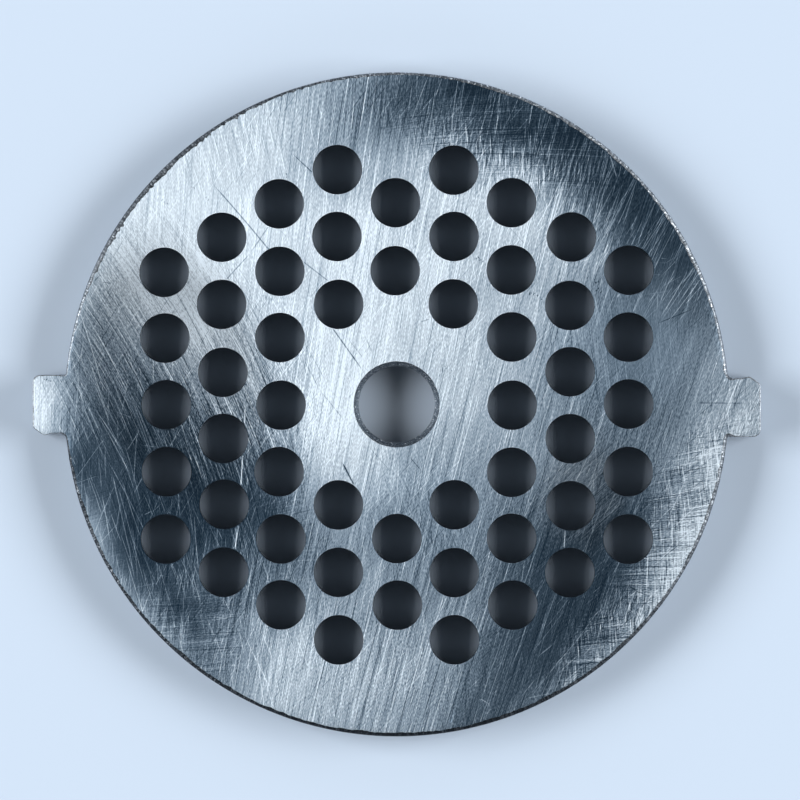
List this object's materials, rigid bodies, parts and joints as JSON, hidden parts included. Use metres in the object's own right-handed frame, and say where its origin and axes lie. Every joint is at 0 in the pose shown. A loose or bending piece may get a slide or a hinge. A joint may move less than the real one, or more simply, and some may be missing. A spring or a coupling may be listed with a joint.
{
  "type": "meat grinder plate",
  "caption": "Flat round steel mincing plate with a field of straight holes, a plain centre bore and two small side lugs.",
  "frame": {"origin": "on the centre bore's axis, at the underside that rests on the table", "axes": "+Z out of the ground cutting face, along the bore; +X along the line of the two lugs"},
  "size_m": [0.0592, 0.054, 0.003],
  "materials": {
    "ground_steel": "flat-ground face with crossing scratches, dark rough bore edge and rim"
  },
  "bodies": {
    "root": {"plate": "ground_steel"}
  },
  "joints": []
}
